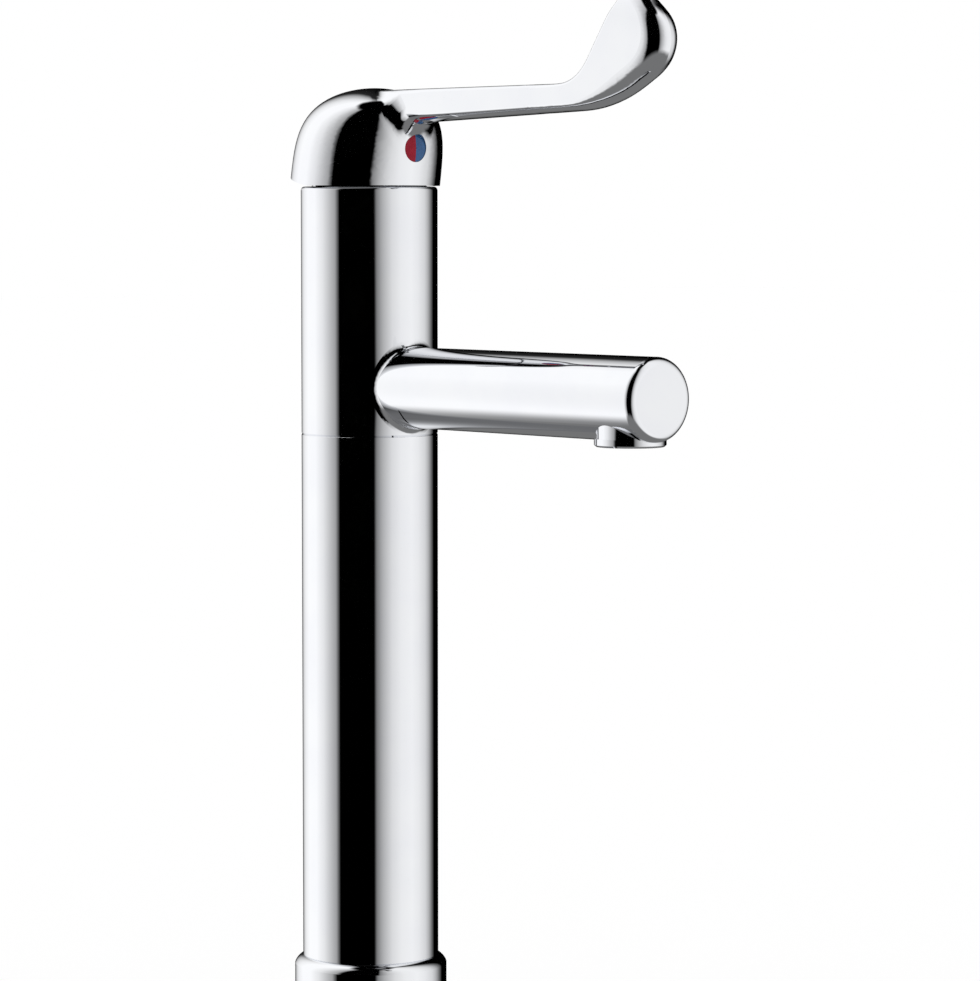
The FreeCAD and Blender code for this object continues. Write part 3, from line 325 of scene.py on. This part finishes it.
def make_slow_drift():
    """Slow change between two tones and two gloss levels."""
    group, given, made = effect("slow_drift", {"Scale": 30.0, "Tone A": grey(1), "Tone B": grey(1),
                                               "Rough A": 0.1, "Rough B": 0.2},
                                {"Color": "NodeSocketColor", "Roughness": "NodeSocketFloat"})
    place = add_node(group, "ShaderNodeTexCoord")
    noise = noise_in(group, (given, "Scale"), (place, "Object"), detail=4.0, roughness=0.55)
    spread = soft_step(group, (noise, "Fac"), DRIFT_FROM, DRIFT_TO)
    tone = mix_tones(group, (spread, "Result"), (given, "Tone A"), (given, "Tone B"))
    link(group, tone, MIX_OUT, made, "Color")
    gloss = add_node(group, "ShaderNodeMix")
    link(group, spread, "Result", gloss, "Factor")
    link(group, given, "Rough A", gloss, "A")
    link(group, given, "Rough B", gloss, "B")
    link(group, gloss, "Result", made, "Roughness")


def make_fine_grain():
    """Fine even grain, as height."""
    group, given, made = effect("fine_grain", {"Scale": 2000.0}, {"Height": "NodeSocketFloat"})
    place = add_node(group, "ShaderNodeTexCoord")
    noise = noise_in(group, (given, "Scale"), (place, "Object"), detail=3.0, roughness=0.6)
    link(group, noise, "Fac", made, "Height")


def make_turning_marks():
    """Marks of a turning tool around a vertical axis, as height."""
    group, given, made = effect("turning_marks", {"Scale": 2500.0}, {"Height": "NodeSocketFloat"})
    place = add_node(group, "ShaderNodeTexCoord")
    flat = add_node(group, "ShaderNodeMapping", {"Scale": (0.02, 0.02, 1.0)})
    link(group, place, "Object", flat, "Vector")
    noise = noise_in(group, (given, "Scale"), (flat, "Vector"), detail=2.0, roughness=0.6)
    link(group, noise, "Fac", made, "Height")


def use_effect(tree, name, values):
    return add_node(tree, "ShaderNodeGroup", values, node_tree=bpy.data.node_groups[name])


# Finishes

def finish(name, tones, rough, drift, relief, depth, scale, metallic=0.0, **sockets):
    """Principled finish with a slow drift of tone and gloss, and a fine relief of this depth and scale."""
    material = bpy.data.materials.new(name)
    material.use_nodes = True
    tree = material.node_tree
    shader = tree.nodes["Principled BSDF"]
    shader.inputs["Metallic"].default_value = metallic
    for label, value in sockets.items():
        shader.inputs[label.replace("_", " ")].default_value = value
    surface = use_effect(tree, "slow_drift", {
        "Scale": drift, "Tone A": (*tones[0], 1), "Tone B": (*tones[1], 1),
        "Rough A": rough[0], "Rough B": rough[1],
    })
    link(tree, surface, "Color", shader, "Base Color")
    link(tree, surface, "Roughness", shader, "Roughness")
    height = use_effect(tree, relief, {"Scale": scale})
    bump = add_node(tree, "ShaderNodeBump", {"Strength": 1.0, "Distance": depth})
    link(tree, height, "Height", bump, "Height")
    link(tree, bump, "Normal", shader, "Normal")
    return material


def metal(name, tones, rough, drift, relief, depth, scale):
    return finish(name, tones, rough, drift, relief, depth, scale, metallic=1.0)


def finishes():
    """One material for each finish that the record names."""
    return {
        "chrome": metal("polished_chrome", ((0.86, 0.87, 0.89), (0.84, 0.85, 0.88)), rough=(0.015, 0.035),
                        drift=40, relief="fine_grain", depth=2e-7, scale=900),
        "raw_brass": metal("turned_brass", ((0.72, 0.50, 0.22), (0.62, 0.42, 0.18)), rough=(0.22, 0.36),
                           drift=120, relief="turning_marks", depth=6e-6, scale=2500),
        "steel": metal("plain_stainless", ((0.60, 0.60, 0.60), (0.52, 0.52, 0.53)), rough=(0.24, 0.38),
                       drift=90, relief="turning_marks", depth=4e-6, scale=3000),
        "black_rubber": finish("seal_rubber", ((0.022, 0.022, 0.022), (0.035, 0.034, 0.033)),
                               rough=(0.55, 0.75), drift=200, relief="fine_grain", depth=2e-5, scale=1800),
        "dark_plastic": finish("filled_plastic", ((0.05, 0.05, 0.055), (0.075, 0.075, 0.08)),
                               rough=(0.38, 0.52), drift=150, relief="fine_grain", depth=1.5e-5, scale=2200),
        "pale_plastic": finish("acetal", ((0.72, 0.72, 0.69), (0.66, 0.66, 0.63)), rough=(0.28, 0.42),
                               drift=150, relief="fine_grain", depth=1e-5, scale=1600),
        "limit_plastic": finish("red_acetal", ((0.42, 0.03, 0.02), (0.36, 0.025, 0.02)), rough=(0.3, 0.45),
                                drift=150, relief="fine_grain", depth=1e-5, scale=1600),
        "ceramic": finish("lapped_ceramic", ((0.80, 0.78, 0.73), (0.74, 0.72, 0.67)), rough=(0.06, 0.14),
                          drift=300, relief="fine_grain", depth=2e-6, scale=3000),
        "red_enamel": finish("red_enamel", ((0.39, 0.016, 0.036), (0.33, 0.012, 0.03)), rough=(0.12, 0.22),
                             drift=400, relief="fine_grain", depth=3e-6, scale=1500, Specular_IOR_Level=0.12),
        "blue_enamel": finish("blue_enamel", ((0.026, 0.12, 0.31), (0.02, 0.10, 0.27)), rough=(0.12, 0.22),
                              drift=400, relief="fine_grain", depth=3e-6, scale=1500, Specular_IOR_Level=0.3,
                              Coat_Weight=0.15, Coat_Roughness=0.05),
    }


def dress_nodes(made):
    """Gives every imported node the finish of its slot."""
    slots = {row["node"]: row["material_slot"] for row in frame["record"]["subparts"]}
    for name, node in frame["nodes"].items():
        node.data.materials.clear()
        node.data.materials.append(made[slots[name]])


# Threaded studs

def thread_share(turns):
    """How deep the thread is cut, 0 at the crest and 1 at the root, at this many turns along it."""
    off_root = abs(turns % 1.0 - 0.5) * 2
    return min(1.0, max(0.0, (1 - THREAD_CREST - off_root) / (1 - THREAD_CREST - THREAD_ROOT)))


def stud_r(z, turns, to_end, outer_r):
    """Radius of a stud: threaded, plain at the deck, and bevelled at both ends."""
    r = SHANK_R if SHANK_FROM < z < SHANK_TO else outer_r - THREAD_DEPTH * thread_share(turns)
    return min(r, outer_r - STUD_BEVEL + to_end)


def threaded_stud(mesh, centre_y, low, high, outer_r):
    """Rings of points from end to end, joined by faces."""
    rings = round((high - low) / THREAD_PITCH * THREAD_STEPS)
    before = None
    for i in range(rings + 1):
        z = low + (high - low) * i / rings
        points = []
        for j in range(THREAD_SIDES):
            angle = 2 * math.pi * j / THREAD_SIDES
            r = stud_r(z, z / THREAD_PITCH - j / THREAD_SIDES, min(z - low, high - z), outer_r)
            points.append(mesh.verts.new((r * math.cos(angle), centre_y + r * math.sin(angle), z)))
        if before is None:
            mesh.faces.new(reversed(points))
        else:
            for j in range(THREAD_SIDES):
                k = (j + 1) % THREAD_SIDES
                mesh.faces.new((before[j], before[k], points[k], points[j]))
        before = points
    mesh.faces.new(before)


def make_studs(material):
    low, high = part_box("fixing_studs")
    outer_r = (high[0] - low[0]) / 2
    mesh = bmesh.new()
    for side in (-1, 1):
        threaded_stud(mesh, side * ((high[1] - low[1]) / 2 - outer_r), low[2], high[2], outer_r)
    for face in mesh.faces:
        face.smooth = len(face.verts) == 4
    data = bpy.data.meshes.new("threaded_studs")
    mesh.to_mesh(data)
    mesh.free()
    data.materials.append(material)
    studs = bpy.data.objects.new("threaded_studs", data)
    bpy.context.scene.collection.objects.link(studs)
    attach(studs, "root")
    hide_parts("fixing_studs")


aim_camera()
light_studio()
lay_floor()
make_slow_drift()
make_fine_grain()
make_turning_marks()
made_finishes = finishes()
dress_nodes(made_finishes)
make_studs(made_finishes["raw_brass"])

bpy.context.scene.view_settings.view_transform = "Standard"
